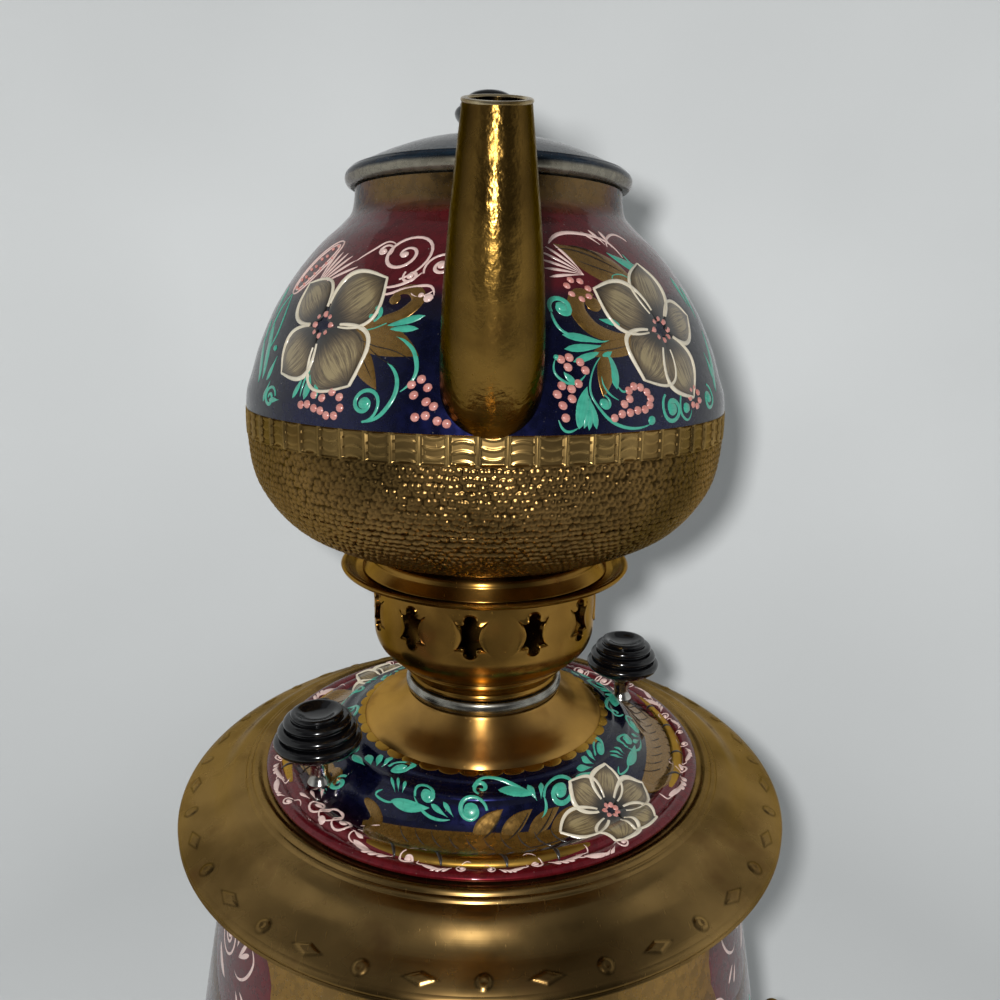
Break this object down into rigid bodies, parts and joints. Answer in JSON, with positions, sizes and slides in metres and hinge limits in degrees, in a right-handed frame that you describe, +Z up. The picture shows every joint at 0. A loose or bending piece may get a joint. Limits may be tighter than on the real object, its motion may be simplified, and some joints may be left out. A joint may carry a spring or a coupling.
{
  "type": "electric samovar with teapot",
  "caption": "Tall brass electric samovar with a tap, side handles, a wide collar and a pierced crown that carries a painted round-bellied teapot.",
  "frame": {"origin": "middle of the base's underside, on the table", "axes": "+Z up; the tap points along -Y, and the teapot's spout 3.2 degrees from it towards -X, the mains inlet along +Y, the side handles lie at +X and -X"},
  "size_m": [0.2682, 0.257, 0.5112],
  "materials": {
    "brass": "polished, gold-lacquered",
    "painted_brass": "translucent maroon and navy lacquer over brass, painted flowers",
    "painted_lid": "translucent navy lacquer over brass, painted scrolls",
    "steel": "bright",
    "nickel": "nickel plated, polished",
    "black_plastic": "moulded, glossy",
    "rubber": "matt"
  },
  "bodies": {
    "body": {"base_shell": "brass", "neck": "brass", "collar": "brass", "tap_body": "brass", "tap_rosette": "brass", "tap_nut": "brass", "heater_bushing_left": "brass", "heater_bushing_right": "brass", "heater_nut_left": "brass", "heater_nut_right": "brass", "handle_left_bracket_1": "brass", "handle_left_bracket_2": "brass", "handle_right_bracket_1": "brass", "handle_right_bracket_2": "brass", "handle_left_cap_nut_1": "brass", "handle_left_cap_nut_2": "brass", "handle_right_cap_nut_1": "brass", "handle_right_cap_nut_2": "brass", "body_shell": "painted_brass", "bottom_cover": "steel", "tie_stud": "steel", "tie_nut": "steel", "cover_screw_1": "steel", "cover_screw_2": "steel", "cover_screw_3": "steel", "handle_left_rod": "steel", "handle_right_rod": "steel", "inlet_pin_left": "nickel", "inlet_pin_right": "nickel", "heater_tube": "nickel", "handle_left_grip": "black_plastic", "handle_right_grip": "black_plastic", "inlet_shroud": "black_plastic", "tap_gasket": "rubber", "lead_left": "rubber", "lead_right": "rubber"},
    "tap_key": {"tap_plug": "brass", "tap_key": "brass", "tap_washer": "steel", "tap_tail_nut": "brass"},
    "lid": {"lid": "painted_lid", "lid_skirt": "steel", "steel_ring": "steel", "lid_post_right": "nickel", "lid_post_left": "nickel", "lid_knob_right": "black_plastic", "lid_knob_left": "black_plastic", "lid_nut_right": "steel", "lid_nut_left": "steel"},
    "crown": {"crown": "brass"},
    "teapot": {"teapot_body": "painted_brass", "teapot_spout": "brass", "teapot_strainer": "brass", "teapot_handle": "black_plastic", "teapot_ferrule_top": "brass", "teapot_ferrule_bottom": "brass"},
    "teapot_lid": {"teapot_lid": "painted_lid", "teapot_lid_washer": "nickel", "teapot_lid_knob": "black_plastic", "teapot_lid_screw": "steel"}
  },
  "joints": [
    {"name": "lid_lift", "type": "slide", "parent": "body", "child": "lid", "axis": [0, 0, 1], "range_m": [0, 0.1]},
    {"name": "crown_lift", "type": "slide", "parent": "lid", "child": "crown", "axis": [0, 0, 1], "range_m": [0, 0.06]},
    {"name": "teapot_lift", "type": "slide", "parent": "crown", "child": "teapot", "axis": [0, 0, 1], "range_m": [0, 0.1]},
    {"name": "teapot_lid_lift", "type": "slide", "parent": "teapot", "child": "teapot_lid", "axis": [0, 0, 1], "range_m": [0, 0.05]},
    {"name": "tap_turn", "type": "hinge", "parent": "body", "child": "tap_key", "pos_m": [0, -0.12106, 0.1546], "axis": [0, 0, 1], "continuous": true}
  ]
}
